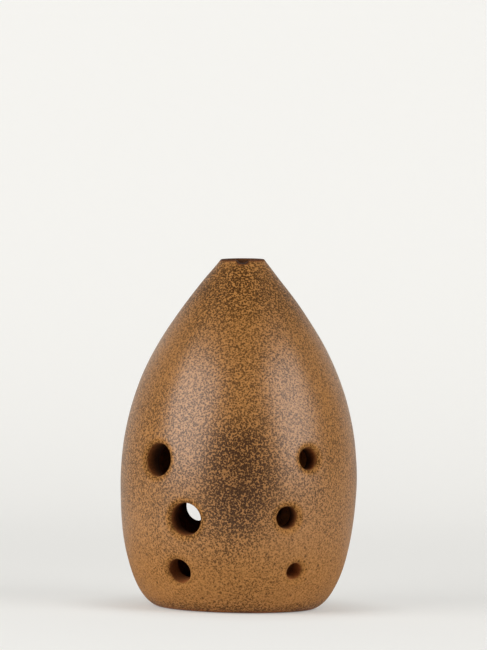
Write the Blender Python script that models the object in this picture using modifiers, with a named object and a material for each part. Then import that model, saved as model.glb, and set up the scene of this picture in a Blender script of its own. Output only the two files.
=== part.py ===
"""Xun, a pear-shaped clay vessel flute, modelled the way a potter puts one together.

Two turned shells meet at the shoulder in a tongue-and-groove rim, and a bevelled disc closes
the foot from below. A thin ring of slip lies in each joint. The finger and thumb holes are
drilled square to the curved wall, and a notch in the front of the mouth is the blowing edge.
Metres, +Z up, the foot stands on z = 0 and the front of the flute faces -Y.
"""

import math

import bpy
from mathutils import Matrix, Vector

# Outside of the vessel
HEIGHT = 0.110
MOUTH_RADIUS = 0.00715
MOUTH_EDGE_ROUND = 0.0012
SHOULDER_ANGLE = math.radians(38.3)
SHOULDER_PULL = 0.0208
BELLY_RADIUS = 0.03745
BELLY_HEIGHT = 0.040
BELLY_RISE = 0.0352
BELLY_DROP = 0.00665
FOOT_RADIUS = 0.0236
FOOT_ROUND = 0.00475
FOOT_FLARE = math.radians(63.4)
FOOT_PULL = 0.01135

# Walls, mouth and blowing edge
WALL = 0.006
BASE_THICKNESS = 0.006
CAVITY_ROUND = 0.004
BLOW_HOLE_RADIUS = 0.0042
NOTCH_WIDTH = 0.0038
NOTCH_DEPTH = 0.0010
NOTCH_FALL = math.radians(3)

# Joints between the pieces
SEAM_MARGIN = 0.009
TONGUE_WIDTH = 0.0044
TONGUE_TIP = 0.0010
TONGUE_DEPTH = 0.0016
SLIP_THICKNESS = 0.0008
FIT_GAP = 0.0003
FOOT_LAND = 0.004
SEAT_SLOPE = math.radians(45)

# Finger and thumb holes: name, height, bearing from the front towards +X in degrees, diameter
HOLES = (
    ("upper_left", 0.0479, -43.8, 0.0103),
    ("upper_right", 0.0493, 37.2, 0.0069),
    ("middle_left", 0.0296, -26.7, 0.0103),
    ("middle_right", 0.0308, 25.6, 0.0071),
    ("lower_left", 0.0128, -32.5, 0.0079),
    ("lower_right", 0.0135, 33.4, 0.0054),
    ("thumb_left", 0.0292, -157.4, 0.0097),
    ("thumb_right", 0.0300, 160.8, 0.0073),
)
HOLE_RIM_ROUND = 0.0014

# How finely the surfaces are faceted, and how far a cutter reaches past what it cuts
TURN_STEPS = 48
HOLE_STEPS = 24
FACET_LENGTH = 0.005
ROUND_POINTS = 4
CUT_REACH = 0.004
MERGE_DISTANCE = 0.00001
HALVINGS = 50

# Stations along the outside: mouth edge, widest point, start of the foot round, flat of the foot
MOUTH_STATION, BELLY_STATION, FOOT_STATION, FLAT_STATION = 0, 1, 2, 3

GLAZED_CLAY = (0.376, 0.181, 0.070, 1.0)
BARE_CLAY = (0.305, 0.114, 0.053, 1.0)
DRIED_SLIP = (0.230, 0.095, 0.045, 1.0)
SATIN, CHALKY = 0.38, 0.85


def cubic(points, t):
    """Point and direction of travel on a cubic Bezier curve."""
    a, b, c, d = points
    s = 1 - t
    point = a * s**3 + b * (3 * s * s * t) + c * (3 * s * t * t) + d * t**3
    travel = (b - a) * (3 * s * s) + (c - b) * (6 * s * t) + (d - c) * (3 * t * t)
    return point, travel.normalized()


def outside(station):
    """Point and direction of travel on the outside, from the mouth (0) down to the foot (3)."""
    belly = Vector((BELLY_RADIUS, BELLY_HEIGHT))
    if station <= BELLY_STATION:
        mouth = Vector((MOUTH_RADIUS, HEIGHT))
        cone = Vector((math.sin(SHOULDER_ANGLE), -math.cos(SHOULDER_ANGLE)))
        crown = (mouth, mouth + cone * SHOULDER_PULL, belly + Vector((0, BELLY_RISE)), belly)
        return cubic(crown, station - MOUTH_STATION)
    centre = Vector((FOOT_RADIUS, FOOT_ROUND))
    if station <= FOOT_STATION:
        flare = Vector((math.sin(FOOT_FLARE), math.cos(FOOT_FLARE)))
        start = centre + Vector((flare.y, -flare.x)) * FOOT_ROUND
        flank = (belly, belly - Vector((0, BELLY_DROP)), start + flare * FOOT_PULL, start)
        return cubic(flank, station - BELLY_STATION)
    turn = FOOT_FLARE + (math.pi / 2 - FOOT_FLARE) * (station - FOOT_STATION)
    point = centre + Vector((math.cos(turn), -math.sin(turn))) * FOOT_ROUND
    return point, Vector((-math.sin(turn), -math.cos(turn)))


def wall_normal(station):
    """Outward normal of the wall in the profile plane."""
    travel = outside(station)[1]
    return Vector((-travel.y, travel.x))


def wall_point(station, inset=0.0):
    """Point of the wall at this station, set in from the outside along the normal."""
    return outside(station)[0] - wall_normal(station) * inset


def station_where(reached, low, high):
    """First station between low and high where the test holds, found by halving."""
    for _ in range(HALVINGS):
        middle = (low + high) / 2
        if reached(middle):
            high = middle
        else:
            low = middle
    return high


def station_at_height(height, inset=0.0):
    return station_where(lambda s: wall_point(s, inset).y <= height, MOUTH_STATION, FOOT_STATION)


def wall_run(start, end, inset=0.0):
    """Points along the wall from one station to the other, both ends included."""
    chord = (wall_point(end, inset) - wall_point(start, inset)).length
    count = max(ROUND_POINTS, math.ceil(chord / FACET_LENGTH))
    return [wall_point(start + (end - start) * i / count, inset) for i in range(count + 1)]


def rounded(before, corner, after, radius):
    """Points of an arc of this radius in place of the corner between two neighbours."""
    back = (before - corner).normalized()
    ahead = (after - corner).normalized()
    half = back.angle(ahead) / 2
    centre = corner + (back + ahead).normalized() * (radius / math.sin(half))
    start = corner + back * (radius / math.tan(half)) - centre
    end = corner + ahead * (radius / math.tan(half)) - centre
    sweep = start.angle_signed(end)
    turns = (Matrix.Rotation(-sweep * i / ROUND_POINTS, 2) for i in range(ROUND_POINTS + 1))
    return [centre + turn @ start for turn in turns]


def seam_height():
    """Underside of the crown's rim, clear of the topmost finger hole."""
    return max(height + diameter / 2 for _, height, _, diameter in HOLES) + SEAM_MARGIN


def rim_edges(level):
    """Outer and inner edge of the wall where it is cut level at this height."""
    return wall_point(station_at_height(level)), wall_point(station_at_height(level, WALL), WALL)


def seam_face(drop):
    """Rim outline from outside to inside with its tongue, this far below the crown's own rim."""
    level = seam_height() - drop
    outer, inner = rim_edges(level)
    middle = sum(edge.x for edge in rim_edges(seam_height())) / 2
    half, tip, foot = TONGUE_WIDTH / 2, TONGUE_TIP / 2, level - TONGUE_DEPTH
    tongue = [(middle + half, level), (middle + tip, foot), (middle - tip, foot), (middle - half, level)]
    return [outer, *map(Vector, tongue), inner]


def foot_seat(offset):
    """Bottom and top of a line that lies this far, measured level, inside the belly's bevelled seat."""
    bottom = FOOT_RADIUS - FOOT_LAND - offset
    top = bottom - BASE_THICKNESS * math.tan(SEAT_SLOPE)
    return Vector((bottom, 0)), Vector((top, BASE_THICKNESS))


def cavity_corner():
    """Where the inner wall meets the cavity floor, and the inner wall's last station above it."""
    last = station_at_height(BASE_THICKNESS, WALL)
    end, travel = wall_point(last, WALL), outside(last)[1]
    corner = end + travel * ((end.y - BASE_THICKNESS) / -travel.y)
    return last, corner


def crown_outline():
    """Section of the upper shell, from the blow hole over the mouth and back up the inside."""
    lip = Vector((BLOW_HOLE_RADIUS, HEIGHT))
    mouth, cone = outside(MOUTH_STATION)
    edge = rounded(lip, mouth, mouth + cone, MOUTH_EDGE_ROUND)
    outer = wall_run(station_at_height(edge[-1].y), station_at_height(seam_height()))
    rim = seam_face(0)
    ceiling = station_where(lambda s: wall_point(s, WALL).x >= BLOW_HOLE_RADIUS, MOUTH_STATION, BELLY_STATION)
    inner = wall_run(station_at_height(seam_height(), WALL), ceiling, WALL)
    bore = Vector((BLOW_HOLE_RADIUS, inner[-1].y))
    return [lip, *edge, *outer[1:-1], *rim, *inner[1:-1], bore]


def belly_outline():
    """Section of the lower shell, from its grooved rim down to the foot and back up the inside."""
    drop = SLIP_THICKNESS + 2 * FIT_GAP
    level = seam_height() - drop
    outer = wall_run(station_at_height(level), BELLY_STATION)
    flank = wall_run(BELLY_STATION, FOOT_STATION)
    foot = wall_run(FOOT_STATION, FLAT_STATION)
    seat = foot_seat(0)
    last, corner = cavity_corner()
    inner = wall_run(last, station_at_height(level, WALL), WALL)
    fillet = rounded(seat[1], corner, inner[1], CAVITY_ROUND)
    rim = seam_face(drop)
    return [*outer, *flank[1:], *foot[1:], *seat, *fillet, *inner[1:-1], *reversed(rim[1:])]


def shoulder_slip_outline():
    """Section of the slip between the two rims, flush with both walls."""
    return [*seam_face(SLIP_THICKNESS + FIT_GAP), *reversed(seam_face(FIT_GAP))]


def foot_slip_outline():
    """Section of the slip between the foot disc and its seat, just clear of the table."""
    outer, inner = foot_seat(FIT_GAP), foot_seat(FIT_GAP + SLIP_THICKNESS)
    lift = Vector((-math.tan(SEAT_SLOPE), 1)) * FIT_GAP
    return [outer[1], outer[0] + lift, inner[0] + lift, inner[1]]


def base_disc_outline():
    """Section of the disc that closes the foot, from its axis outwards and back."""
    bottom, top = foot_seat(SLIP_THICKNESS + 2 * FIT_GAP)
    return [Vector((0, BASE_THICKNESS)), top, bottom, Vector((0, 0))]


def hole_cutter_outline(radius):
    """Section of a drill that leaves a softly rounded rim on the outside of the wall."""
    flared = radius + HOLE_RIM_ROUND
    arc = []
    for i in range(ROUND_POINTS + 1):
        turn = math.pi / 2 * (1 + i / ROUND_POINTS)
        arc.append(Vector((flared + HOLE_RIM_ROUND * math.cos(turn), HOLE_RIM_ROUND * (math.sin(turn) - 1))))
    top, end = CUT_REACH, -(WALL + CUT_REACH)
    return [Vector((0, top)), Vector((flared, top)), *arc, Vector((radius, end)), Vector((0, end))]


def turned(name, outline, collection, steps, closed=True):
    """Object that turns an outline, given down its outer side, once round the Z axis."""
    count = len(outline)
    edges = [(i, (i + 1) % count) for i in range(count if closed else count - 1)]
    mesh = bpy.data.meshes.new(name)
    mesh.from_pydata([(point.x, 0, point.y) for point in outline], edges, [])
    piece = bpy.data.objects.new(name, mesh)
    collection.objects.link(piece)
    screw = piece.modifiers.new("turn", "SCREW")
    screw.steps = screw.render_steps = steps
    screw.use_merge_vertices = True
    screw.merge_threshold = MERGE_DISTANCE
    screw.use_smooth_shade = True
    return piece


def as_cutter(piece):
    piece.hide_render = True
    piece.display_type = "WIRE"
    return piece


def cut(piece, cutter):
    boolean = piece.modifiers.new(cutter.name, "BOOLEAN")
    boolean.operation = "DIFFERENCE"
    boolean.solver = "EXACT"
    boolean.object = cutter


def hole_cutter(name, height, bearing, diameter, collection):
    """Drill for one hole, standing square to the wall at its height and bearing."""
    station = station_at_height(height)
    flared = diameter / 2 + HOLE_RIM_ROUND
    sink = flared * flared / (4 * BELLY_RADIUS)
    spot, normal = wall_point(station, sink), wall_normal(station)
    away = Vector((math.sin(bearing), -math.cos(bearing), 0))
    up = Vector((0, 0, 1))
    axis = away * normal.x + up * normal.y
    cutter = turned(name, hole_cutter_outline(diameter / 2), collection, HOLE_STEPS, closed=False)
    turn = axis.to_track_quat("Z", "Y").to_matrix().to_4x4()
    cutter.matrix_world = Matrix.Translation(away * spot.x + up * spot.y) @ turn
    return as_cutter(cutter)


def notch_cutter(collection):
    """Round trough from the blow hole out through the front of the mouth, falling outwards."""
    radius = (NOTCH_WIDTH**2 / 4 + NOTCH_DEPTH**2) / (2 * NOTCH_DEPTH)
    length = 2 * MOUTH_RADIUS
    outline = [(0, length), (radius, length), (radius, 0), (0, 0)]
    cutter = turned("notch", list(map(Vector, outline)), collection, HOLE_STEPS, closed=False)
    axis = Vector((0, -math.cos(NOTCH_FALL), -math.sin(NOTCH_FALL)))
    rise = radius / math.cos(NOTCH_FALL) - NOTCH_DEPTH + BLOW_HOLE_RADIUS * math.tan(NOTCH_FALL)
    turn = axis.to_track_quat("Z", "Y").to_matrix().to_4x4()
    cutter.matrix_world = Matrix.Translation((0, 0, HEIGHT + rise)) @ turn
    return as_cutter(cutter)


def clay(name, colour, roughness):
    material = bpy.data.materials.new(name)
    material.use_nodes = True
    surface = material.node_tree.nodes["Principled BSDF"]
    surface.inputs["Base Color"].default_value = colour
    surface.inputs["Roughness"].default_value = roughness
    surface.inputs["Metallic"].default_value = 0.0
    return material


def clear_scene():
    for leftover in list(bpy.data.objects):
        bpy.data.objects.remove(leftover, do_unlink=True)


def new_collection(name):
    collection = bpy.data.collections.new(name)
    bpy.context.scene.collection.children.link(collection)
    return collection


def main():
    clear_scene()
    parts = new_collection("xun")
    cutters = new_collection("xun_cutters")

    crown = turned("crown", crown_outline(), parts, TURN_STEPS)
    belly = turned("belly", belly_outline(), parts, TURN_STEPS)
    base_disc = turned("base_disc", base_disc_outline(), parts, TURN_STEPS, closed=False)
    shoulder_slip = turned("shoulder_slip", shoulder_slip_outline(), parts, TURN_STEPS)
    foot_slip = turned("foot_slip", foot_slip_outline(), parts, TURN_STEPS)

    cut(crown, notch_cutter(cutters))
    for name, height, degrees, diameter in HOLES:
        cut(belly, hole_cutter(name, height, math.radians(degrees), diameter, cutters))

    crown.data.materials.append(clay("speckled_glaze_crown", GLAZED_CLAY, SATIN))
    belly.data.materials.append(clay("speckled_glaze_belly", GLAZED_CLAY, SATIN))
    base_disc.data.materials.append(clay("bare_clay_base", BARE_CLAY, CHALKY))
    shoulder_slip.data.materials.append(clay("slip_shoulder", DRIED_SLIP, CHALKY))
    foot_slip.data.materials.append(clay("slip_foot", DRIED_SLIP, CHALKY))


main()
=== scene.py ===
"""Looks of the xun: its fired and glazed shells, its luting, its foot disc, the light and the camera.

Every shape is turned about the Z axis from an outline, as on a wheel, and the holes are drilled
square to the wall. Metres, +Z up, the foot stands on z = 0 and the front faces -Y.
"""
import math

import bpy
from bpy.props import FloatProperty, FloatVectorProperty, IntProperty, PointerProperty
from mathutils import Matrix, Vector
from mathutils.kdtree import KDTree


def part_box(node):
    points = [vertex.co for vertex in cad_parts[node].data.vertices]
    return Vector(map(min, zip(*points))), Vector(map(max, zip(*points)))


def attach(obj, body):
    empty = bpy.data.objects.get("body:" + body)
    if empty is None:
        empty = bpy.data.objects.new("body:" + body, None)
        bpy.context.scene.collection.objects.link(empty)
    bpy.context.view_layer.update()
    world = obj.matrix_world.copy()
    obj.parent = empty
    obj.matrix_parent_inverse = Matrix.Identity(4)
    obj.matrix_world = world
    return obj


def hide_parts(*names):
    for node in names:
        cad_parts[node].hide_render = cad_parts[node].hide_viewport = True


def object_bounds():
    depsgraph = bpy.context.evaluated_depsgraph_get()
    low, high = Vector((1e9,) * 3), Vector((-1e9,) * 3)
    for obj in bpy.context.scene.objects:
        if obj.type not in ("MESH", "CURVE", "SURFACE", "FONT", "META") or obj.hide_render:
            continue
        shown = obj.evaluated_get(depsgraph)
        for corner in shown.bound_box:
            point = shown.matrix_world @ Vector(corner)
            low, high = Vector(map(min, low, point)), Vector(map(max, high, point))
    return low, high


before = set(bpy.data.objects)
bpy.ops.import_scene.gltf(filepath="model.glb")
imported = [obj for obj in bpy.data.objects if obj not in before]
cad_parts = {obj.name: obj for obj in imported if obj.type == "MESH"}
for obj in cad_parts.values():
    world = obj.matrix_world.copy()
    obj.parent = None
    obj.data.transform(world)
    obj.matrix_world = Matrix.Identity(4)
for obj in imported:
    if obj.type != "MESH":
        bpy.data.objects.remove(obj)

bl_info = {
    "name": "Xun",
    "version": (1, 0, 0),
    "blender": (4, 5, 0),
    "location": "3D View > Sidebar > Xun",
    "description": "Turns, drills, lutes and glazes a clay vessel flute on a pale studio floor",
    "category": "Object",
}

CAD_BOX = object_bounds()
BODY = "root"

# Finger and thumb holes: name, height, bearing from the front towards +X in degrees, diameter
HOLES = (
    ("upper_left", 0.0479, -43.8, 0.0103),
    ("upper_right", 0.0493, 37.2, 0.0069),
    ("middle_left", 0.0296, -26.7, 0.0103),
    ("middle_right", 0.0308, 25.6, 0.0071),
    ("lower_left", 0.0128, -32.5, 0.0079),
    ("lower_right", 0.0135, 33.4, 0.0054),
    ("thumb_left", 0.0292, -157.4, 0.0097),
    ("thumb_right", 0.0300, 160.8, 0.0073),
)

# Stations along the outside: mouth edge, widest point, start of the foot round, flat of the foot
MOUTH_STATION, BELLY_STATION, FOOT_STATION, FLAT_STATION = 0, 1, 2, 3
UP = Vector((0, 0, 1))
# Points closer than this become one
MERGE_DISTANCE = 0.000002
# How far a drill reaches past the wall
CUT_REACH = 0.004
# Edges that turn by more than this stay sharp
CREASE_ANGLE = math.radians(35)

# Wiped side: heights over which it sets in and fades out, and how far round it sets in
WIPE_START, WIPE_END, WIPE_ROUND = (0.015, 0.045), (0.090, 0.105), (0.5, 1.0)

# Marks on the clay: how glazed it is, how much painted shade and darkening it takes, and how shiny it is
GLAZE_MARKS = ("glaze", "inside", "polish")
# Glaze: the depth over which it runs out, and the height over which it sets in at the foot
GLAZE_DEPTH, GLAZE_FOOT = (0.0001, 0.0022), (-0.0015, 0.0025)
# Fall from the mouth over which it sets in, and how much later at the worn notch
GLAZE_LIP, GLAZE_LIP_WORN = (0.0002, 0.0009), (0.0009, 0.0007)
# Distance to the side over which the notch's wear and painted shade fade
NOTCH_SPREAD = (0.0016, 0.0022)
# Darkening of the bare lip, and the painted shade that the notch adds to it
LIP_DARKENING, NOTCH_SHADE = 0.8, 0.2
# Painted shade in a hole, darker with depth: the depth over which it sets in, and the height up the belly
HOLE_SHADE, HOLE_SHADE_HEIGHT = (0.0008, 0.0055), (0.008, 0.034)
# Paler cavity, a painted light: the share of the wall, and the distance from a hole, over which it sets in
CAVITY_DEPTH, CAVITY_CLEAR = (0.90, 0.99), (0.0005, 0.0020)
# Share of the blow hole's radius over which the painted shade in its bore fades
BORE_SHADE = (1.02, 1.2)
# Distance from a hole over which the gloss sets in
GLOSS_RIM = (0.0008, 0.0028)

# Grain of the clay under the glaze, of the foot disc and of the slip
GLAZED_GRAIN, BARE_GRAIN, SLIP_GRAIN = 0.0009, 0.0011, 0.0007
# Sizes in the speckle: cells of the specks, soft blotches, grit and pale grains
SPECK_SIZE, BLOTCH_SIZE, GRIT_SIZE, PALE_SIZE = 0.00058, 0.0007, 0.0003, 0.0009
# Spacing of the lone specks
LONE_SPACING = 0.0020
# Contrast of sparse and of crowded specks
SPECK_GAIN = (0.2, 7.2)
# Crowding of the specks by height: from, to, and what it adds at each end. The first row is painted light
# and shade, fewer specks low on the belly and more higher up; the third is a painted shade, more specks in a
# band at the foot
SPECKS_BY_HEIGHT = (
    (0.012, 0.044, 0.28, 0.465),
    (0.055, 0.075, 0.0, -0.04),
    (0.0, 0.0045, 0.3, 0.0),
    (0.085, 0.102, 0.0, 0.24),
    (0.105, 0.110, 0.0, -0.14),
)
# The same by side, which runs from -1 at -X to 1 at +X. Fewer specks towards +X lighten that side, a painted
# light; fewer towards -X lighten the left side as well
SPECKS_BY_SIDE = ((-0.85, -0.25, -0.08, 0.0), (0.1, 0.7, 0.0, -0.10))
# Clouds of specks: their size and swing
CLOUD_SIZE, CLOUD_SWING = 0.017, 0.07
# Smoke on the front and its trail: centre and reach, then what they add to the crowding
SMOKE_PLACE = ((0.0005, -0.036, 0.043), (0.018, 0.04, 0.026))
TRAIL_PLACE = ((-0.006, -0.034, 0.026), (0.016, 0.04, 0.016))
SMOKE_SPECKS, TRAIL_SPECKS = 0.415, 0.12
# How fully pale grains, smoke and lone specks cover the glaze
PALE_COVER, DUSK_COVER, LONE_COVER = 0.3, 0.6, 0.85
# Size and swing of the ragged line where the glaze ends
RAGGED_SIZE, RAGGED_SWING = 0.0016, 0.2
# Roughness that a speck adds, and that the dull foot adds by height
SPECK_ROUGHNESS, DULL_FOOT = 0.12, (0.025, 0.055, 0.16, 0.0)
# Weight of the clear coat by height, side, specks and smoke
COAT_BY_HEIGHT = ((0.010, 0.030, 0.0, 1.0), (0.080, 0.105, 0.80, 0.3))
COAT_BY_SIDE = (0.25, 0.9, 1.0, 0.70)
COAT_BY_SPECKS, COAT_BY_SMOKE = (0.0, 1.0, 1.0, 0.7), (0.0, 1.0, 1.0, 0.3)

# Softboxes: name, bearing in degrees as for the holes, height, and the panel's two sides
SOFTBOXES = (
    ("left_softbox", -55, 0.36, (0.76, 0.72)),
    ("right_softbox", 61, 0.39, (0.66, 0.76)),
)
# Their distance from the axis, and the height on it that they aim at
SOFTBOX_DISTANCE, SOFTBOX_AIM = 0.8, 0.05
# Paper: where it turns from dim to white, and where its white grows stronger up the backdrop, a painted
# light
PAPER_DIM, PAPER_RISE = (-0.5, -0.25), (0.12, 0.68)
# White of the paper by the distance from the foot: less of it near the foot lets the real shadow show and
# paints the paper darker round the foot, a painted shadow
PAPER_SHADOW = (0.022, 0.060, 0.5, 1.0)
# How much of that white the gloss mirrors
MIRRORED_WHITE = 0.2


def length(name, description, default):
    return FloatProperty(name=name, description=description, default=default, unit="LENGTH", precision=5)


def angle(name, description, degrees):
    return FloatProperty(name=name, description=description, default=math.radians(degrees), subtype="ANGLE")


def amount(name, description, default):
    return FloatProperty(name=name, description=description, default=default, precision=3)


def count(name, description, default):
    return IntProperty(name=name, description=description, default=default, min=3)


def colour(name, description, default):
    return FloatVectorProperty(name=name, description=description, default=default, size=3, subtype="COLOR")


class XunShape(bpy.types.PropertyGroup):
    """Sizes of the vessel. The mouth is cut narrower than in its solids, and one side is wiped flatter."""

    height: length("Height", "From the table to the mouth", CAD_BOX[1].z)
    mouth_radius: length("Mouth radius", "Flat top of the mouth, before its edge is rounded", 0.0068)
    mouth_round: length("Mouth round", "Rounding of the mouth's outer edge", 0.0004)
    lip_round: length("Lip round", "Rounding of the blow hole's edge", 0.0005)
    shoulder_angle: angle("Shoulder angle", "Slope of the shoulder at the mouth, from upright", 38.3)
    shoulder_pull: length("Shoulder pull", "How far the shoulder runs straight from the mouth", 0.0208)
    belly_radius: length("Belly radius", "Widest radius", CAD_BOX[1].x)
    belly_height: length("Belly height", "Height of the widest point", 0.040)
    belly_rise: length("Belly rise", "Pull of the belly curve upwards", 0.0352)
    belly_drop: length("Belly drop", "Pull of the belly curve downwards", 0.00665)
    foot_radius: length("Foot radius", "Flat that stands on the table", 0.0236)
    foot_round: length("Foot round", "Rounding of the foot's edge", 0.00475)
    foot_flare: angle("Foot flare", "Slope of the flank where the foot round starts", 63.4)
    foot_pull: length("Foot pull", "Pull of the flank up from the foot", 0.01135)
    wall: length("Wall", "Thickness of the shells", 0.006)
    base_thickness: length("Base thickness", "Thickness of the foot disc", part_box("base_disc")[1].z)
    cavity_round: length("Cavity round", "Rounding between the floor and the wall inside", 0.004)
    blow_hole_radius: length("Blow hole radius", "Bore of the mouth", 0.0042)
    notch_width: length("Notch width", "Width of the blowing edge's notch at the top", 0.0038)
    notch_depth: length("Notch depth", "Depth of the notch at the blow hole", 0.0010)
    notch_fall: angle("Notch fall", "Fall of the notch towards the front", 3.0)
    hole_round: length("Hole round", "Rounding of the hole rims", 0.0014)
    foot_land: length("Foot land", "Width of the foot between its flat's edge and the disc's seat", 0.004)
    seat_slope: angle("Seat slope", "Slope of the bevel that the disc sits in", 45.0)
    slip_thickness: length("Slip thickness", "Slip between disc and seat, with its clearances", 0.0014)
    belly_rim: length("Belly rim", "Level of the lower shell's rim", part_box("belly")[1].z)
    crown_rim: length("Crown rim", "Level of the upper shell's rim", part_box("shoulder_slip")[1].z)
    bead_width: length("Bead width", "Half width of the squeezed slip inside the shoulder seam", 0.0016)
    bead_height: length("Bead height", "How far that slip stands in from the wall", 0.0009)
    hand_marks: length("Hand marks", "Swing of the unevenness that wiping by hand leaves", 0.00035)
    hand_mark_size: length("Hand mark size", "Size of those uneven places", 0.021)
    side_wipe: length("Side wipe", "How much flatter the side towards -X is wiped", 0.00045)
    mouth_tilt: angle("Mouth tilt", "Fall of the hand-cut mouth towards the front", 0.3)
    mouth_slant: angle("Mouth slant", "Rise of the hand-cut mouth towards +X", 1.2)
    turn_steps: count("Turn steps", "Facets once round the vessel", 256)
    hole_steps: count("Hole steps", "Facets once round a hole", 72)
    fine_spacing: length("Fine spacing", "Spacing of the rings outside", 0.0008)
    coarse_spacing: length("Coarse spacing", "Spacing of the rings inside", 0.0022)
    round_points: count("Round points", "Facets along a rounded corner", 7)


class XunFinish(bpy.types.PropertyGroup):
    """Colours of the clay and the glaze, and how shiny they are."""

    ochre: colour("Ochre", "Glaze between its specks", (0.44, 0.195, 0.052))
    dusk: colour("Dusk", "Glaze between the specks where it is smoked", (0.25, 0.115, 0.040))
    brown: colour("Brown", "Lone specks in the glaze", (0.100, 0.038, 0.004))
    iron: colour("Iron", "Specks where they crowd", (0.045, 0.015, 0.001))
    sand: colour("Sand", "Pale grains in the glaze", (0.55, 0.28, 0.10))
    bare: colour("Bare clay", "Fired clay without glaze", (0.30, 0.115, 0.055))
    bare_dark: colour("Dark clay", "Fired clay in its pores and smears", (0.13, 0.05, 0.028))
    # Painted light: the rim clay is painted paler than the bare clay, to light the holes and the cavity
    painted_lit_clay: colour("Rim clay", "Clay where the glaze ends in the holes, and inside", (0.46, 0.150, 0.036))
    # Painted shade deep in the holes, in the bore and in the notch; the same clay also darkens the lip and
    # the grain of the bare clay
    dark_shade_clay: colour("Dark shade clay", "Clay deep in the holes and at the mouth", (0.05, 0.017, 0.005))
    slip: colour("Slip", "Dried and fired slip", (0.23, 0.095, 0.045))
    glaze_roughness: amount("Glaze roughness", "Satin of the glaze", 0.36)
    coat_roughness: amount("Coat roughness", "Satin of the clear coat on the thick glaze", 0.31)
    clay_roughness: amount("Clay roughness", "Chalkiness of the bare clay", 0.86)


class XunStage(bpy.types.PropertyGroup):
    """Floor, lamps and camera."""

    floor: colour("Floor", "Paper of the floor and the backdrop", (0.86, 0.85, 0.815))
    dim: colour("Dim floor", "Floor in front of the paper, out of the picture", (0.12, 0.118, 0.115))
    ambient: amount("Ambient", "Level of the light from all round", 0.05)
    ambient_tint: colour("Ambient tint", "Colour of that light", (1.0, 0.995, 0.985))
    left_lamp: amount("Left lamp", "Radiance of the left softbox", 4.15)
    right_lamp: amount("Right lamp", "Radiance of the right softbox", 3.75)
    paper_white: colour("Paper white", "Colour in which the paper is seen", (1.0, 0.99, 0.955))
    paper_share: amount("Paper share", "How much of the seen paper is that white, rather than lit", 0.6)
    # Painted light: the white is stronger up the backdrop than on the floor
    paper_low: amount("Paper low", "Strength of that white on the floor", 0.955)
    paper_high: amount("Paper high", "Strength of that white up the backdrop", 1.19)
    cove_distance: length("Cove distance", "Where the floor starts to curve up behind the object", 0.35)
    cove_radius: length("Cove radius", "Radius of that curve", 0.5)
    paper_width: length("Paper width", "Width of the floor", 4.0)
    paper_front: length("Paper front", "How far the floor reaches towards the camera", 3.6)
    paper_height: length("Paper height", "How far the backdrop reaches up", 1.6)
    lens: amount("Lens", "Focal length in millimetres on a 36 mm sensor", 526.0)
    distance: length("Distance", "Camera to the aim point", 3.0)
    aim_height: length("Aim height", "Height of the aim point on the axis", 0.05)
    elevation: angle("Elevation", "Camera above the horizon, seen from the aim point", 3.683)
    tilt_up: angle("Tilt up", "Turn of the camera above the aim point", 0.7478)
    turn_right: angle("Turn right", "Turn of the camera to the right of the aim point", 0.0298)
    roll: angle("Roll", "Roll of the camera against the upright", 1.2)


def cubic(points, t):
    """Point and direction of travel on a cubic Bezier curve."""
    a, b, c, d = points
    s = 1 - t
    point = a * s**3 + b * (3 * s * s * t) + c * (3 * s * t * t) + d * t**3
    travel = (b - a) * (3 * s * s) + (c - b) * (6 * s * t) + (d - c) * (3 * t * t)
    return point, travel.normalized()


def smooth_step(low, high, value):
    t = min(max((value - low) / (high - low), 0.0), 1.0)
    return t * t * (3 - 2 * t)


def rounded(before, corner, after, radius, points):
    """Points of an arc of this radius in place of the corner between two neighbours."""
    back = (before - corner).normalized()
    ahead = (after - corner).normalized()
    half = back.angle(ahead) / 2
    centre = corner + (back + ahead).normalized() * (radius / math.sin(half))
    start = corner + back * (radius / math.tan(half)) - centre
    end = corner + ahead * (radius / math.tan(half)) - centre
    sweep = start.angle_signed(end)
    return [centre + Matrix.Rotation(-sweep * i / points, 2) @ start for i in range(points + 1)]


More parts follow.
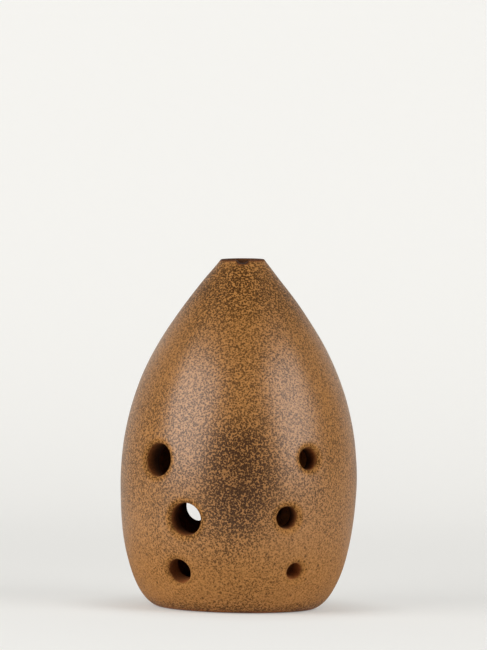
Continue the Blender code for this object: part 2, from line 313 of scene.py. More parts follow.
class Wall:
    """The wall in section, as points (radius, height) at stations from the mouth to the flat foot."""

    def __init__(self, shape):
        self.shape = shape
        belly = Vector((shape.belly_radius, shape.belly_height))
        mouth = Vector((shape.mouth_radius, shape.height))
        cone = Vector((math.sin(shape.shoulder_angle), -math.cos(shape.shoulder_angle)))
        rise = Vector((0, shape.belly_rise))
        drop = Vector((0, shape.belly_drop))
        flare = Vector((math.sin(shape.foot_flare), math.cos(shape.foot_flare)))
        self.foot = Vector((shape.foot_radius, shape.foot_round))
        start = self.foot + Vector((flare.y, -flare.x)) * shape.foot_round
        self.crown = (mouth, mouth + cone * shape.shoulder_pull, belly + rise, belly)
        self.flank = (belly, belly - drop, start + flare * shape.foot_pull, start)

    def outside(self, station):
        """Point and direction of travel on the outside."""
        if station <= BELLY_STATION:
            return cubic(self.crown, station - MOUTH_STATION)
        if station <= FOOT_STATION:
            return cubic(self.flank, station - BELLY_STATION)
        flare = self.shape.foot_flare
        turn = flare + (math.pi / 2 - flare) * (station - FOOT_STATION)
        point = self.foot + Vector((math.cos(turn), -math.sin(turn))) * self.shape.foot_round
        return point, Vector((-math.sin(turn), -math.cos(turn)))

    def normal(self, station):
        travel = self.outside(station)[1]
        return Vector((-travel.y, travel.x))

    def point(self, station, inset=0.0):
        return self.outside(station)[0] - self.normal(station) * inset

    def first(self, reached, low, high, halvings=40):
        """First station between low and high where the test holds, found by halving."""
        for _ in range(halvings):
            middle = (low + high) / 2
            if reached(middle):
                high = middle
            else:
                low = middle
        return high

    def station_at(self, height, inset=0.0):
        return self.first(lambda s: self.point(s, inset).y <= height, MOUTH_STATION, FOOT_STATION)

    def run(self, start, end, spacing, inset=0.0):
        """Points along the wall from one station to the other, both ends included."""
        chord = (self.point(end, inset) - self.point(start, inset)).length
        steps = max(self.shape.round_points, math.ceil(chord / spacing))
        return [self.point(start + (end - start) * i / steps, inset) for i in range(steps + 1)]

    def rim(self, level):
        """Outer and inner edge of the wall where it is cut level at this height."""
        inset = self.shape.wall
        return self.point(self.station_at(level)), self.point(self.station_at(level, inset), inset)

    def seat(self, offset=0.0):
        """Bottom and top of a line that lies this far, measured level, inside the bevelled foot seat."""
        shape = self.shape
        bottom = shape.foot_radius - shape.foot_land - offset
        top = bottom - shape.base_thickness * math.tan(shape.seat_slope)
        return Vector((bottom, 0)), Vector((top, shape.base_thickness))


def crown_outline(wall):
    """Section of the upper shell, over the mouth, down the outside and back up to the blow hole."""
    shape = wall.shape
    inset = shape.wall
    ceiling = wall.first(
        lambda s: wall.point(s, inset).x >= shape.blow_hole_radius, MOUTH_STATION, BELLY_STATION
    )
    bore = Vector((shape.blow_hole_radius, wall.point(ceiling, inset).y))
    lip = Vector((shape.blow_hole_radius, shape.height))
    mouth, cone = wall.outside(MOUTH_STATION)
    inner_edge = rounded(bore, lip, mouth, shape.lip_round, shape.round_points)
    outer_edge = rounded(lip, mouth, mouth + cone, shape.mouth_round, shape.round_points)
    start = wall.station_at(outer_edge[-1].y)
    outer = wall.run(start, wall.station_at(shape.crown_rim), shape.fine_spacing)
    inner = wall.run(wall.station_at(shape.crown_rim, inset), ceiling, shape.coarse_spacing, inset)
    return [*inner_edge, *outer_edge, *outer[1:], *inner[:-1], bore]


def belly_outline(wall):
    """Section of the lower shell, from its rim down to the foot, up the seat and the inside."""
    shape = wall.shape
    inset = shape.wall
    outer = wall.run(wall.station_at(shape.belly_rim), BELLY_STATION, shape.fine_spacing)
    flank = wall.run(BELLY_STATION, FOOT_STATION, shape.fine_spacing)
    foot = wall.run(FOOT_STATION, FLAT_STATION, shape.fine_spacing)
    last = wall.station_at(shape.base_thickness, inset)
    end = wall.point(last, inset)
    travel = wall.outside(last)[1]
    corner = end + travel * ((end.y - shape.base_thickness) / -travel.y)
    inner = wall.run(last, wall.station_at(shape.belly_rim, inset), shape.coarse_spacing, inset)
    seat = wall.seat()
    fillet = rounded(seat[1], corner, inner[1], shape.cavity_round, shape.round_points)
    return [*outer, *flank[1:], *foot[1:], *seat, *fillet, *inner[2:]]


def shoulder_outline(wall):
    """Section of the slip in the shoulder seam: flush outside, squeezed into a bead inside."""
    shape = wall.shape
    top, bottom = wall.rim(shape.crown_rim), wall.rim(shape.belly_rim)
    outer = wall.run(wall.station_at(shape.crown_rim), wall.station_at(shape.belly_rim), shape.fine_spacing)
    middle = (top[1] + bottom[1]) / 2
    along = (top[1] - bottom[1]).normalized()
    inwards = Vector((-along.y, along.x))
    bead = []
    for i in range(shape.round_points + 1):
        turn = math.pi * i / shape.round_points
        reach = inwards * (shape.bead_height * math.sin(turn))
        bead.append(middle - along * (shape.bead_width * math.cos(turn)) + reach)
    return [*outer, bottom[1], *bead, top[1]]


def foot_slip_outline(wall):
    """Section of the slip between the foot disc and its seat, hollowed a little underneath."""
    shape = wall.shape
    outer, inner = wall.seat(), wall.seat(shape.slip_thickness)
    hollow = (outer[0] + inner[0]) / 2 + Vector((0, shape.slip_thickness / 3))
    swell = (outer[1] + inner[1]) / 2 + Vector((0, shape.slip_thickness / 3))
    return [outer[1], outer[0], hollow, inner[0], inner[1], swell]


def foot_disc_outline(wall):
    """Section of the foot disc from its axis: smooth on top, with shallow turning rings underneath."""
    shape = wall.shape
    bottom, top = wall.seat(shape.slip_thickness)
    pitch, depth, points_per_ring = 0.0021, 0.00012, 6
    steps = math.ceil(bottom.x / (pitch / points_per_ring))
    under = []
    for i in range(steps + 1):
        radius = bottom.x * (1 - i / steps)
        ring = depth * (1 - math.cos(math.tau * (bottom.x - radius) / pitch)) / 2
        under.append(Vector((radius, ring)))
    return [Vector((0, shape.base_thickness)), top, *under]


def hole_cutter_outline(shape, radius):
    """Section of a drill whose flare leaves a softly rounded rim and crosses the wall's face at a slant."""
    slant = math.radians(14)
    corner = shape.hole_round
    arc = []
    for i in range(shape.round_points + 1):
        turn = math.pi / 2 + slant + (math.pi / 2 - slant) * i / shape.round_points
        arc.append(Vector((radius + corner + corner * math.cos(turn), corner * (math.sin(turn) - 1))))
    lift = 0.0003
    clear = Vector((arc[0].x + (lift - arc[0].y) / math.tan(slant), lift))
    rings = 6
    end = -(shape.wall + CUT_REACH)
    tunnel = [Vector((radius, arc[-1].y + (end - arc[-1].y) * i / rings)) for i in range(1, rings + 1)]
    return [Vector((0, CUT_REACH)), Vector((clear.x, CUT_REACH)), clear, *arc, *tunnel, Vector((0, end))]


def notch_outline(shape):
    """Section of the round trough that the notch is cut with."""
    radius = (shape.notch_width**2 / 4 + shape.notch_depth**2) / (2 * shape.notch_depth)
    reach = 2 * shape.mouth_radius
    return radius, [Vector((0, reach)), Vector((radius, reach)), Vector((radius, 0)), Vector((0, 0))]


def select_only(piece):
    bpy.ops.object.select_all(action="DESELECT")
    piece.select_set(True)
    bpy.context.view_layer.objects.active = piece


def turned(name, outline, steps, closed=True, seed=0.001):
    """Traces an outline with one vertex, extruded from point to point, and spins it once round the axis."""
    points = [*outline, outline[0]] if closed else outline
    bpy.ops.object.select_all(action="DESELECT")
    bpy.ops.mesh.primitive_plane_add(size=seed, location=(points[0].x, 0, points[0].y))
    piece = bpy.context.object
    piece.name = piece.data.name = name
    bpy.ops.object.mode_set(mode="EDIT")
    bpy.ops.mesh.select_all(action="SELECT")
    bpy.ops.mesh.merge(type="CENTER")
    for here, there in zip(points, points[1:]):
        step = there - here
        bpy.ops.mesh.extrude_vertices_move(TRANSFORM_OT_translate={"value": (step.x, 0, step.y)})
    bpy.ops.mesh.select_all(action="SELECT")
    bpy.ops.mesh.remove_doubles(threshold=MERGE_DISTANCE)
    bpy.ops.mesh.spin(steps=steps, angle=math.tau, center=(0, 0, 0), axis=(0, 0, 1))
    bpy.ops.mesh.select_all(action="SELECT")
    bpy.ops.mesh.remove_doubles(threshold=MERGE_DISTANCE)
    bpy.ops.mesh.normals_make_consistent(inside=False)
    bpy.ops.object.mode_set(mode="OBJECT")
    bpy.ops.object.transform_apply(location=True, rotation=True, scale=True)
    return piece


def apply(piece, modifier):
    select_only(piece)
    bpy.ops.object.modifier_apply(modifier=modifier.name)


def uneven(piece, shape):
    """Warps a piece slightly, as wiping with a wet hand leaves clay. The foot and the mouth stay flat."""
    texture = bpy.data.textures.get("hand marks") or bpy.data.textures.new("hand marks", "CLOUDS")
    texture.cloud_type = "COLOR"
    texture.noise_scale = shape.hand_mark_size
    texture.noise_depth = 1
    group = piece.vertex_groups.new(name="between foot and mouth")
    flat = 0.0005
    for vertex in piece.data.vertices:
        foot = smooth_step(flat, 2 * shape.foot_round, vertex.co.z)
        mouth = smooth_step(0.0, 2 * shape.mouth_radius, shape.height - vertex.co.z)
        group.add([vertex.index], foot * mouth, "REPLACE")
    marks = piece.modifiers.new("hand marks", "DISPLACE")
    marks.texture = texture
    marks.texture_coords = "LOCAL"
    marks.direction = "RGB_TO_XYZ"
    marks.mid_level = 0.5
    marks.strength = shape.hand_marks
    marks.vertex_group = group.name
    apply(piece, marks)
    piece.vertex_groups.clear()
    for vertex in piece.data.vertices:
        side = smooth_step(*WIPE_ROUND, -vertex.co.x / math.hypot(vertex.co.x, vertex.co.y))
        level = smooth_step(*WIPE_START, vertex.co.z) - smooth_step(*WIPE_END, vertex.co.z)
        vertex.co.x += shape.side_wipe * side * level


def slant_mouth(piece, shape):
    """Tips the mouth a little, as cutting it by eye leaves it."""
    fall, rise = math.tan(shape.mouth_tilt), math.tan(shape.mouth_slant)
    rim = 0.001
    for vertex in piece.data.vertices:
        near = 1 - smooth_step(rim, shape.mouth_radius, shape.height - vertex.co.z)
        vertex.co.z += near * (vertex.co.x * rise + vertex.co.y * fall)


def cut(piece, cutter):
    """Takes a cutter's shape out of a piece and throws the cutter away."""
    boolean = piece.modifiers.new("cut", "BOOLEAN")
    boolean.operation = "DIFFERENCE"
    boolean.solver = "EXACT"
    boolean.object = cutter
    apply(piece, boolean)
    bpy.data.objects.remove(cutter, do_unlink=True)


def hole_place(wall, height, degrees):
    """Where a hole crosses the outside, with Z along its axis, square to the wall."""
    bearing = math.radians(degrees)
    station = wall.station_at(height)
    spot, normal = wall.point(station), wall.normal(station)
    away = Vector((math.sin(bearing), -math.cos(bearing), 0))
    axis = away * normal.x + UP * normal.y
    turn = axis.to_track_quat("Z", "Y").to_matrix().to_4x4()
    return Matrix.Translation(away * spot.x + UP * spot.y) @ turn


def hole_cutter(piece, wall, height, degrees, diameter):
    """Drill for one hole, square to the wall, with its flare bent to follow the wall's own curve."""
    shape = wall.shape
    place = hole_place(wall, height, degrees)
    axis = place.to_3x3() @ UP
    back = place.inverted()
    cutter = turned("drill", hole_cutter_outline(shape, diameter / 2), shape.hole_steps, closed=False)
    for vertex in cutter.data.vertices:
        start = place @ Vector((vertex.co.x, vertex.co.y, shape.wall))
        hit, point, _, _ = piece.ray_cast(start, -axis)
        if not hit:
            raise RuntimeError("a hole's flare reaches past the wall")
        vertex.co.z += (back @ point).z
    cutter.data.transform(place)
    return cutter


def drill_holes(piece, wall):
    """Cuts all the finger and thumb holes at once."""
    drills = [hole_cutter(piece, wall, *hole) for _, *hole in HOLES]
    bpy.ops.object.select_all(action="DESELECT")
    for drill in drills:
        drill.select_set(True)
    bpy.context.view_layer.objects.active = drills[0]
    bpy.ops.object.join()
    cut(piece, drills[0])


def cut_notch(piece, shape):
    """Cuts the trough of the blowing edge, from the blow hole out through the front of the mouth."""
    radius, outline = notch_outline(shape)
    cutter = turned("notch", outline, shape.hole_steps, closed=False)
    fall = shape.notch_fall
    axis = Vector((0, -math.cos(fall), -math.sin(fall)))
    rise = radius / math.cos(fall) - shape.notch_depth + shape.blow_hole_radius * math.tan(fall)
    turn = axis.to_track_quat("Z", "Y").to_matrix().to_4x4()
    cutter.data.transform(Matrix.Translation((0, 0, shape.height + rise)) @ turn)
    cut(piece, cutter)


def outside_tree(wall, spacing=0.0001):
    """Search tree of points on the outside, all laid in the plane y = 0."""
    stations = (MOUTH_STATION, BELLY_STATION, FOOT_STATION, FLAT_STATION)
    samples = []
    for start, end in zip(stations, stations[1:]):
        samples += wall.run(start, end, spacing)
    tree = KDTree(len(samples))
    for index, sample in enumerate(samples):
        tree.insert((sample.x, 0, sample.y), index)
    tree.balance()
    return tree


def hole_clearance(wall, rims, point, limit=0.01):
    """How far a point lies from the bore of the nearest hole, up to a limit."""
    clear = limit
    for back, radius in rims:
        local = back @ point
        if local.z > -wall.shape.belly_radius:
            clear = min(clear, math.hypot(local.x, local.y) - radius)
    return clear


def mark_glaze(piece, wall):
    """Stores how glazed each point of the clay is, how much painted shade and darkening it takes, and how
    shiny it is.
    """
    shape = wall.shape
    tree = outside_tree(wall)
    rims = [(hole_place(wall, *place).inverted(), diameter / 2) for _, *place, diameter in HOLES]
    for name in GLAZE_MARKS:
        piece.data.attributes.new(name, "FLOAT", "POINT")
    glaze, inside, polish = (piece.data.attributes[name].data for name in GLAZE_MARKS)
    fall, rise = math.tan(shape.mouth_tilt), math.tan(shape.mouth_slant)
    for vertex in piece.data.vertices:
        x, y, z = vertex.co
        around = math.hypot(x, y)
        depth = tree.find((around, 0, z))[2]
        clear = hole_clearance(wall, rims, vertex.co)
        covered = 1 - smooth_step(*GLAZE_DEPTH, depth)
        below = shape.height - z + x * rise + y * fall
        at_notch = 1 - smooth_step(*NOTCH_SPREAD, abs(x)) if y < 0 else 0.0
        start, end = (bare + later * at_notch for bare, later in zip(GLAZE_LIP, GLAZE_LIP_WORN))
        lip = smooth_step(start, end, below)
        cavity = smooth_step(*CAVITY_DEPTH, depth / shape.wall) * smooth_step(*CAVITY_CLEAR, clear)
        # Painted shade: the clay darkens deep in the holes, less low on the belly, and in the bore
        tunnel = smooth_step(*HOLE_SHADE, depth) - cavity
        bore = 1 - smooth_step(*BORE_SHADE, around / shape.blow_hole_radius)
        smoked = max(tunnel * smooth_step(*HOLE_SHADE_HEIGHT, z), bore)
        # Painted shade in the notch, on top of a darker lip
        lip_dark = LIP_DARKENING + NOTCH_SHADE * at_notch
        glaze[vertex.index].value = covered * lip * smooth_step(*GLAZE_FOOT, z)
        inside[vertex.index].value = lip_dark + (smoked - lip_dark) * lip
        polish[vertex.index].value = covered * lip * smooth_step(*GLOSS_RIM, clear)


def add(tree, kind, inputs=None, **settings):
    """Adds a shader node; an input is a value, or the socket of another node to link from."""
    node = tree.nodes.new("ShaderNode" + kind)
    for name, value in settings.items():
        setattr(node, name, value)
    for name, value in (inputs or {}).items():
        if isinstance(value, bpy.types.NodeSocket):
            tree.links.new(value, node.inputs[name])
        else:
            node.inputs[name].default_value = value
    return node


def calc(tree, operation, first, second=0.0, clamp=False):
    return add(tree, "Math", {0: first, 1: second}, operation=operation, use_clamp=clamp).outputs[0]


def plus(tree, first, *others, clamp=False):
    """Sum of values, kept between 0 and 1 where that is asked for."""
    for value in others:
        first = calc(tree, "ADD", first, value, clamp)
    return first


def times(tree, first, *others):
    """Product of values."""
    for value in others:
        first = calc(tree, "MULTIPLY", first, value)
    return first


def ramp(tree, value, low, high, start=0.0, end=1.0, interpolation="SMOOTHSTEP"):
    """Maps low to high onto start to end, with soft ends."""
    inputs = {"Value": value, "From Min": low, "From Max": high, "To Min": start, "To Max": end}
    return add(tree, "MapRange", inputs, interpolation_type=interpolation).outputs["Result"]


def blend(tree, factor, first, second, blend_type="MIX"):
    """Mixes two colours."""
    sockets = {0: factor, 6: first, 7: second}
    return add(tree, "Mix", sockets, data_type="RGBA", blend_type=blend_type).outputs[2]


def noise(tree, vector, size, detail=2.0, roughness=0.5):
    """Noise whose patches are about this size in metres, from 0 to 1."""
    inputs = {"Vector": vector, "Scale": 1 / size, "Detail": detail, "Roughness": roughness}
    return add(tree, "TexNoise", inputs).outputs["Fac"]


def swing(tree, value, reach):
    """Centres a noise on zero and gives it this reach."""
    return times(tree, calc(tree, "SUBTRACT", value, 0.5), reach)


def cells(tree, vector, size):
    """Cells that are about this size in metres."""
    return add(tree, "TexVoronoi", {"Vector": vector, "Scale": 1 / size}, feature="F1").outputs


def drift(tree, vector, centre, reach):
    """Soft patch around a place, 1 in its middle and 0 at its edge."""
    inputs = {"Vector": vector, "Location": centre, "Scale": reach}
    local = add(tree, "Mapping", inputs, vector_type="TEXTURE").outputs["Vector"]
    ball = add(tree, "TexGradient", {"Vector": local}, gradient_type="SPHERICAL").outputs["Fac"]
    return ramp(tree, ball, 0.0, 0.8)


def rgba(tint):
    return (*tint, 1.0)


def new_group(name, inputs, outputs):
    """Shader node group with named float inputs and outputs."""
    group = bpy.data.node_groups.new(name, "ShaderNodeTree")
    for label, default in inputs:
        socket = group.interface.new_socket(label, in_out="INPUT", socket_type="NodeSocketFloat")
        socket.default_value = default
    for label in outputs:
        group.interface.new_socket(label, in_out="OUTPUT", socket_type="NodeSocketFloat")
    return group, group.nodes.new("NodeGroupInput").outputs, group.nodes.new("NodeGroupOutput").inputs


def clay_grain():
    """Grain of fired clay: broad tone, fine grit and open pores, for every clay surface."""
    name = "clay grain"
    if name in bpy.data.node_groups:
        return bpy.data.node_groups[name]
    group, given, made = new_group(name, [("Size", 0.001)], ["Tone", "Grit", "Pores"])
    place = add(group, "TexCoord").outputs["Object"]
    patches_per_metre = 70.0
    broad = {"Vector": place, "Scale": patches_per_metre, "Detail": 3.0}
    tone = add(group, "TexNoise", broad).outputs["Fac"]
    scale = calc(group, "DIVIDE", 1.0, given["Size"])
    gritty = {"Vector": place, "Scale": scale, "Detail": 4.0, "Roughness": 0.65}
    grit = add(group, "TexNoise", gritty).outputs["Fac"]
    pores = add(group, "TexVoronoi", {"Vector": place, "Scale": scale}, feature="F1").outputs["Distance"]
    group.links.new(ramp(group, tone, 0.3, 0.7), made["Tone"])
    group.links.new(grit, made["Grit"])
    group.links.new(ramp(group, pores, 0.08, 0.3, 1.0, 0.0), made["Pores"])
    return group


def glaze_speckle():
    """Iron specks in the glaze: soft grains that crowd and deepen as Density goes up."""
    name = "glaze speckle"
    if name in bpy.data.node_groups:
        return bpy.data.node_groups[name]
    group, given, made = new_group(name, [("Density", 0.3)], ["Specks", "Grains", "Spots"])
    place = add(group, "TexCoord").outputs["Object"]
    frays_per_metre, fray_reach = 1900.0, 0.0005
    fine = {"Vector": place, "Scale": frays_per_metre, "Detail": 1.0}
    stray = add(group, "TexNoise", fine).outputs["Color"]
    shift = add(group, "VectorMath", {0: stray, 1: (0.5, 0.5, 0.5)}, operation="SUBTRACT").outputs[0]
    nudge = add(group, "VectorMath", {0: shift, "Scale": fray_reach}, operation="SCALE").outputs[0]
    frayed = add(group, "VectorMath", {0: place, 1: nudge}, operation="ADD").outputs[0]

    middle = calc(group, "SUBTRACT", 0.55, cells(group, frayed, SPECK_SIZE)["Distance"])
    dots = times(group, middle, 0.7)
    blotches = swing(group, noise(group, place, BLOTCH_SIZE, 2.0, 0.6), 0.8)
    grit = swing(group, noise(group, place, GRIT_SIZE, 1.0), 0.5)
    field = plus(group, blotches, grit, dots)
    gain = ramp(group, given["Density"], 0.0, 1.0, *SPECK_GAIN, "LINEAR")
    specks = plus(group, given["Density"], times(group, field, gain), clamp=True)
    group.links.new(specks, made["Specks"])

    lone = cells(group, place, LONE_SPACING)
    chance = add(group, "SeparateColor", {"Color": lone["Color"]}).outputs["Red"]
    spots = ramp(group, lone["Distance"], 0.14, 0.30, 1.0, 0.0)
    group.links.new(times(group, spots, ramp(group, chance, 0.4, 0.7)), made["Spots"])
    group.links.new(ramp(group, noise(group, place, PALE_SIZE), 0.55, 0.75), made["Grains"])
    return group


def new_material(name):
    material = bpy.data.materials.new(name)
    material.use_nodes = True
    return material, material.node_tree, material.node_tree.nodes["Principled BSDF"]


def use(tree, group, **inputs):
    """Places a node group and hands back its outputs."""
    return add(tree, "Group", inputs, node_tree=group).outputs


def feed(tree, surface, name, value):
    tree.links.new(value, surface.inputs[name])


def bump(tree, surface, height, strength, distance):
    relief = add(tree, "Bump", {"Height": height, "Strength": strength, "Distance": distance})
    feed(tree, surface, "Normal", relief.outputs["Normal"])


def clay_colour(tree, grain, light, dark):
    """Bare clay: a light tone, given or linked, that drifts into a dark one, with dark pores."""
    tone = blend(tree, times(tree, grain["Tone"], 0.6), light, rgba(dark))
    grit = ramp(tree, grain["Grit"], 0.35, 0.65, 0.75, 1.15, "LINEAR")
    grey = add(tree, "CombineColor", {0: grit, 1: grit, 2: grit}).outputs[0]
    shaded = blend(tree, 1.0, tone, grey, "MULTIPLY")
    return blend(tree, times(tree, grain["Pores"], 0.5), shaded, rgba(dark))


def height_and_side(tree, place):
    """Height of a place, and its side from -1 at -X to 1 at +X."""
    up = add(tree, "SeparateXYZ", {"Vector": place}).outputs["Z"]
    level = add(tree, "VectorMath", {0: place, 1: (1, 1, 0)}, operation="MULTIPLY").outputs[0]
    bearing = add(tree, "VectorMath", {0: level}, operation="NORMALIZE").outputs[0]
    return up, add(tree, "SeparateXYZ", {"Vector": bearing}).outputs["X"]


def speck_density(tree, place, up, across, smoke):
    """How closely the specks crowd: by height and by side, in part as painted light and shade, in clouds,
    and most where the front is smoked.
    """
    clouds = noise(tree, place, CLOUD_SIZE, 3.0)
    even = plus(
        tree,
        *(ramp(tree, up, *span) for span in SPECKS_BY_HEIGHT),
        ramp(tree, clouds, 0.3, 0.7, -CLOUD_SWING, CLOUD_SWING, "LINEAR"),
        *(ramp(tree, across, *span) for span in SPECKS_BY_SIDE),
    )
    trail = times(tree, drift(tree, place, *TRAIL_PLACE), TRAIL_SPECKS)
    return plus(tree, even, plus(tree, times(tree, smoke, SMOKE_SPECKS), trail), clamp=True)


def glaze_colour(tree, finish, speckle, density, smoke):
    """Ochre with pale grains, dusky where it is smoked, under specks that deepen as they crowd."""
    pale = times(tree, speckle["Grains"], PALE_COVER)
    dusky = times(tree, smoke, DUSK_COVER)
    lone = times(tree, speckle["Spots"], LONE_COVER)
    body = blend(tree, pale, rgba(finish.ochre), rgba(finish.sand))
    body = blend(tree, dusky, body, rgba(finish.dusk))
    speck = blend(tree, ramp(tree, density, 0.45, 0.85), rgba(finish.brown), rgba(finish.iron))
    glazed = blend(tree, speckle["Specks"], body, speck)
    return blend(tree, lone, glazed, rgba(finish.brown))


def glaze_material(finish):
    """Speckled satin glaze that breaks to bare clay over the rims and inside the holes."""
    name = "speckled_satin_glaze"
    if name in bpy.data.materials:
        return bpy.data.materials[name]
    material, tree, surface = new_material(name)
    place = add(tree, "TexCoord").outputs["Object"]
    up, across = height_and_side(tree, place)
    marks = [add(tree, "Attribute", attribute_name=mark).outputs["Fac"] for mark in GLAZE_MARKS]
    glaze, inside, polish = marks
    grain = use(tree, clay_grain(), Size=GLAZED_GRAIN)
    smoke = drift(tree, place, *SMOKE_PLACE)
    density = speck_density(tree, place, up, across, smoke)
    speckle = use(tree, glaze_speckle(), Density=density)

    # Bare clay: the paler rim clay is a painted light in the holes and the cavity, the dark clay a painted
    # shade deep in the holes, in the bore and in the notch
    bare = blend(tree, inside, rgba(finish.painted_lit_clay), rgba(finish.dark_shade_clay))
    bare = clay_colour(tree, grain, bare, finish.dark_shade_clay)
    wander = noise(tree, place, RAGGED_SIZE)
    ragged = ramp(tree, wander, 0.3, 0.7, -RAGGED_SWING, RAGGED_SWING, "LINEAR")
    cover = ramp(tree, plus(tree, glaze, ragged), 0.3, 0.75)
    glazed = glaze_colour(tree, finish, speckle, density, smoke)
    feed(tree, surface, "Base Color", blend(tree, cover, bare, glazed))

    specks = times(tree, speckle["Specks"], SPECK_ROUGHNESS)
    satin = plus(tree, specks, finish.glaze_roughness, ramp(tree, up, *DULL_FOOT))
    rough = add(tree, "Mix", {0: polish, 2: finish.clay_roughness, 3: satin}, data_type="FLOAT").outputs[0]
    feed(tree, surface, "Roughness", rough)
    coat = times(
        tree,
        *(ramp(tree, up, *span) for span in COAT_BY_HEIGHT),
        ramp(tree, across, *COAT_BY_SIDE),
        polish,
        ramp(tree, speckle["Specks"], *COAT_BY_SPECKS, "LINEAR"),
        ramp(tree, smoke, *COAT_BY_SMOKE, "LINEAR"),
    )
    feed(tree, surface, "Coat Weight", coat)
    surface.inputs["Coat Roughness"].default_value = finish.coat_roughness
    surface.inputs["Specular IOR Level"].default_value = 0.25
    relief = plus(tree, grain["Grit"], times(tree, speckle["Specks"], -0.5))
    bump(tree, surface, relief, strength=0.3, distance=0.00012)
    return material


def bare_material(finish):
    """Unglazed fired clay of the foot."""
    material, tree, surface = new_material("bare_fired_clay")
    grain = use(tree, clay_grain(), Size=BARE_GRAIN)
    feed(tree, surface, "Base Color", clay_colour(tree, grain, rgba(finish.bare), finish.bare_dark))
    rough = ramp(tree, grain["Tone"], 0.0, 1.0, finish.clay_roughness - 0.08, finish.clay_roughness + 0.06)
    feed(tree, surface, "Roughness", rough)
    relief = calc(tree, "SUBTRACT", grain["Grit"], grain["Pores"])
    bump(tree, surface, relief, strength=0.6, distance=0.00015)
    return material


def slip_material(finish):
    """Smeared, fired slip."""
    material, tree, surface = new_material("smeared_slip")
    grain = use(tree, clay_grain(), Size=SLIP_GRAIN)
    feed(tree, surface, "Base Color", clay_colour(tree, grain, rgba(finish.slip), finish.bare_dark))
    rough = ramp(tree, grain["Grit"], 0.3, 0.7, finish.clay_roughness - 0.15, finish.clay_roughness)
    feed(tree, surface, "Roughness", rough)
    bump(tree, surface, grain["Grit"], strength=0.7, distance=0.0002)
    return material


def finish_piece(piece, material, nodes):
    """Shades a finished piece, gives it its material and ties it to the solids that it stands for."""
    select_only(piece)
    bpy.ops.object.shade_smooth_by_angle(angle=CREASE_ANGLE)
    piece.data.materials.clear()
    piece.data.materials.append(material)
    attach(piece, BODY)
    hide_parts(*nodes)


class XUN_OT_shells(bpy.types.Operator):
    """Turn the two shells, drill their holes and glaze them"""

    bl_idname = "xun.shells"
    bl_label = "Shells"

    def execute(self, context):
        shape = context.scene.xun_shape
        wall = Wall(shape)
        crown = turned("crown_shell", crown_outline(wall), shape.turn_steps)
        belly = turned("belly_shell", belly_outline(wall), shape.turn_steps)
        for shell in (crown, belly):
            uneven(shell, shape)
        slant_mouth(crown, shape)
        cut_notch(crown, shape)
        drill_holes(belly, wall)
        glaze = glaze_material(context.scene.xun_finish)
        for shell, node in ((crown, "crown"), (belly, "belly")):
            mark_glaze(shell, wall)
            finish_piece(shell, glaze, [node])
        return {"FINISHED"}


class XUN_OT_luting(bpy.types.Operator):
    """Lay the slip in the shoulder seam and round the foot disc"""

    bl_idname = "xun.luting"
    bl_label = "Luting"

    def execute(self, context):
        shape = context.scene.xun_shape
        finish = context.scene.xun_finish
        wall = Wall(shape)
        shoulder = turned("shoulder_luting", shoulder_outline(wall), shape.turn_steps)
        uneven(shoulder, shape)
        mark_glaze(shoulder, wall)
        finish_piece(shoulder, glaze_material(finish), ["shoulder_slip"])
        foot = turned("foot_luting", foot_slip_outline(wall), shape.turn_steps)
        finish_piece(foot, slip_material(finish), ["foot_slip"])
        return {"FINISHED"}


class XUN_OT_foot_disc(bpy.types.Operator):
    """Turn the disc that closes the foot"""

    bl_idname = "xun.foot_disc"
    bl_label = "Foot disc"

    def execute(self, context):
        shape = context.scene.xun_shape
        disc = turned("foot_disc", foot_disc_outline(Wall(shape)), shape.turn_steps, closed=False)
        finish_piece(disc, bare_material(context.scene.xun_finish), ["base_disc"])
        return {"FINISHED"}


def paper_material(stage):
    """White paper: lit by the lamps, near white to the eye, with a painted shadow round the foot and a
    painted light that grows up the backdrop, clear from behind and dim towards the camera.
    """
    material, tree, surface = new_material("paper")
    surface.inputs["Roughness"].default_value = 0.9
    surface.inputs["Specular IOR Level"].default_value = 0.1
    spot = add(tree, "TexCoord").outputs["Object"]
    depth = add(tree, "SeparateXYZ", {"Vector": spot}).outputs["Y"]
    path = add(tree, "LightPath").outputs
    eye = path["Is Camera Ray"]
    mirrored = times(tree, path["Is Glossy Ray"], MIRRORED_WHITE)
    seen = plus(tree, eye, mirrored, path["Is Transmission Ray"], clamp=True)

    near = ramp(tree, depth, *PAPER_DIM)
    feed(tree, surface, "Base Color", blend(tree, near, rgba(stage.dim), rgba(stage.floor)))
    apart = add(tree, "VectorMath", {0: spot}, operation="LENGTH").outputs["Value"]
    # Painted shadow: less white near the foot darkens the paper round it
    lifted = times(tree, near, ramp(tree, apart, *PAPER_SHADOW))
    share = times(tree, seen, lifted, stage.paper_share)
    far = times(tree, eye, calc(tree, "SUBTRACT", 1.0, near))
    share = plus(tree, share, far, clamp=True)
    # Painted light: the white grows stronger up the backdrop
    level = ramp(tree, depth, *PAPER_RISE, stage.paper_low, stage.paper_high)
    white = add(tree, "Emission", {"Color": rgba(stage.paper_white), "Strength": level}).outputs[0]
    mixed = add(tree, "MixShader", {0: share, 1: surface.outputs[0], 2: white}).outputs[0]

    behind = times(tree, eye, add(tree, "NewGeometry").outputs["Backfacing"])
    clear = add(tree, "BsdfTransparent").outputs[0]
    sheet = add(tree, "MixShader", {0: behind, 1: mixed, 2: clear}).outputs[0]
    tree.links.new(sheet, tree.nodes["Material Output"].inputs["Surface"])
    return material


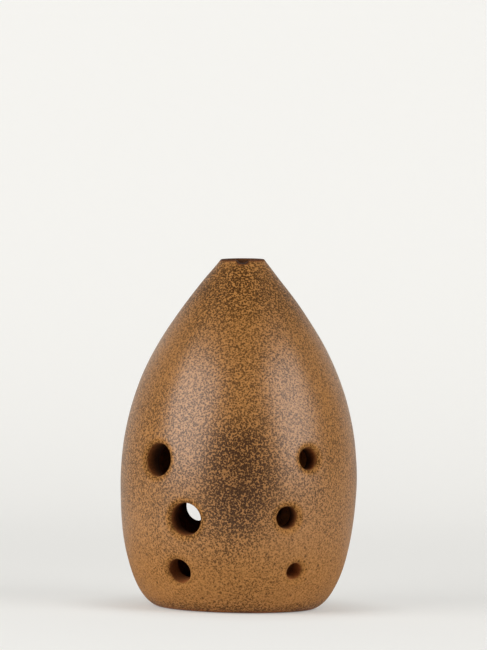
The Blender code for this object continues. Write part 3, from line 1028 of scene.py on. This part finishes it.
def paper_floor(stage):
    """Floor that curves up into a backdrop: a plane whose far edge is extruded round a cove."""
    bpy.ops.object.select_all(action="DESELECT")
    depth = stage.paper_front + stage.cove_distance
    middle = (stage.cove_distance - stage.paper_front) / 2
    gap, steps = 0.0001, 24
    bpy.ops.mesh.primitive_plane_add(size=1, location=(0, middle, -gap))
    floor = bpy.context.object
    floor.name = "paper_floor"
    floor.scale = (stage.paper_width, depth, 1)
    bpy.ops.object.transform_apply(location=True, rotation=True, scale=True)
    for part in (*floor.data.vertices, *floor.data.polygons):
        part.select = False
    for edge in floor.data.edges:
        edge.select = all(floor.data.vertices[i].co.y > 0 for i in edge.vertices)
    bpy.ops.object.mode_set(mode="EDIT")
    bpy.ops.mesh.select_mode(type="EDGE")
    for i in range(steps):
        here, there = (math.pi / 2 * (i + k) / steps for k in (0, 1))
        step = (0, math.sin(there) - math.sin(here), math.cos(here) - math.cos(there))
        value = tuple(stage.cove_radius * x for x in step)
        bpy.ops.mesh.extrude_region_move(TRANSFORM_OT_translate={"value": value})
    bpy.ops.mesh.extrude_region_move(TRANSFORM_OT_translate={"value": (0, 0, stage.paper_height)})
    bpy.ops.mesh.select_all(action="SELECT")
    bpy.ops.mesh.normals_make_consistent(inside=True)
    bpy.ops.object.mode_set(mode="OBJECT")
    bpy.ops.object.shade_smooth()
    floor.data.materials.append(paper_material(stage))


def softbox(name, degrees, height, size, radiance):
    """Rectangular lamp at a bearing from the front, aimed at the middle of the object."""
    bearing = math.radians(degrees)
    spot = Vector((math.sin(bearing), -math.cos(bearing), 0)) * SOFTBOX_DISTANCE + UP * height
    aim = Vector((0, 0, SOFTBOX_AIM)) - spot
    bpy.ops.object.light_add(type="AREA", location=spot)
    lamp = bpy.context.object
    lamp.name = name
    lamp.rotation_euler = aim.to_track_quat("-Z", "Y").to_euler()
    lamp.data.shape = "RECTANGLE"
    lamp.data.size, lamp.data.size_y = size
    lamp.data.energy = radiance * math.pi * size[0] * size[1]


def studio_world(stage):
    """Even, weak light from all round."""
    world = bpy.data.worlds.new("studio")
    bpy.context.scene.world = world
    world.use_nodes = True
    background = world.node_tree.nodes["Background"]
    background.inputs["Color"].default_value = rgba(stage.ambient_tint)
    background.inputs["Strength"].default_value = stage.ambient


def add_camera(stage):
    """Camera at the viewing angle, turned off the aim point to frame the object low in the picture."""
    reach = Vector((0, -math.cos(stage.elevation), math.sin(stage.elevation))) * stage.distance
    level = Matrix.Rotation(math.pi / 2 - stage.elevation, 4, "X")
    turns = (
        Matrix.Rotation(stage.roll, 4, "Z")
        @ Matrix.Rotation(stage.tilt_up, 4, "X")
        @ Matrix.Rotation(-stage.turn_right, 4, "Y")
    )
    bpy.ops.object.camera_add()
    camera = bpy.context.object
    camera.name = "camera"
    camera.matrix_world = Matrix.Translation(UP * stage.aim_height + reach) @ level @ turns
    camera.data.lens = stage.lens
    bpy.context.scene.camera = camera


class XUN_OT_stage(bpy.types.Operator):
    """Lay the paper floor, hang the lamps and place the camera"""

    bl_idname = "xun.stage"
    bl_label = "Stage"

    def execute(self, context):
        stage = context.scene.xun_stage
        paper_floor(stage)
        studio_world(stage)
        for lamp, radiance in zip(SOFTBOXES, (stage.left_lamp, stage.right_lamp)):
            softbox(*lamp, radiance)
        add_camera(stage)
        context.scene.view_settings.view_transform = "Standard"
        return {"FINISHED"}


class XUN_PT_panel(bpy.types.Panel):
    """Steps that build the xun, and the settings that they read"""

    bl_idname = "XUN_PT_panel"
    bl_label = "Xun"
    bl_space_type = "VIEW_3D"
    bl_region_type = "UI"
    bl_category = "Xun"

    def draw(self, context):
        for step in STEPS:
            self.layout.operator(step.bl_idname)
        for name, kind in SETTINGS.items():
            box = self.layout.box()
            for setting in kind.__annotations__:
                box.prop(getattr(context.scene, name), setting)


STEPS = (XUN_OT_shells, XUN_OT_luting, XUN_OT_foot_disc, XUN_OT_stage)
SETTINGS = {"xun_shape": XunShape, "xun_finish": XunFinish, "xun_stage": XunStage}


def register():
    for kind in (*SETTINGS.values(), *STEPS, XUN_PT_panel):
        bpy.utils.register_class(kind)
    for name, kind in SETTINGS.items():
        setattr(bpy.types.Scene, name, PointerProperty(type=kind))


def unregister():
    for name in SETTINGS:
        delattr(bpy.types.Scene, name)
    for kind in (XUN_PT_panel, *reversed(STEPS), *SETTINGS.values()):
        bpy.utils.unregister_class(kind)


def main():
    register()
    bpy.ops.xun.shells()
    bpy.ops.xun.luting()
    bpy.ops.xun.foot_disc()
    bpy.ops.xun.stage()


if __name__ == "__main__":
    main()
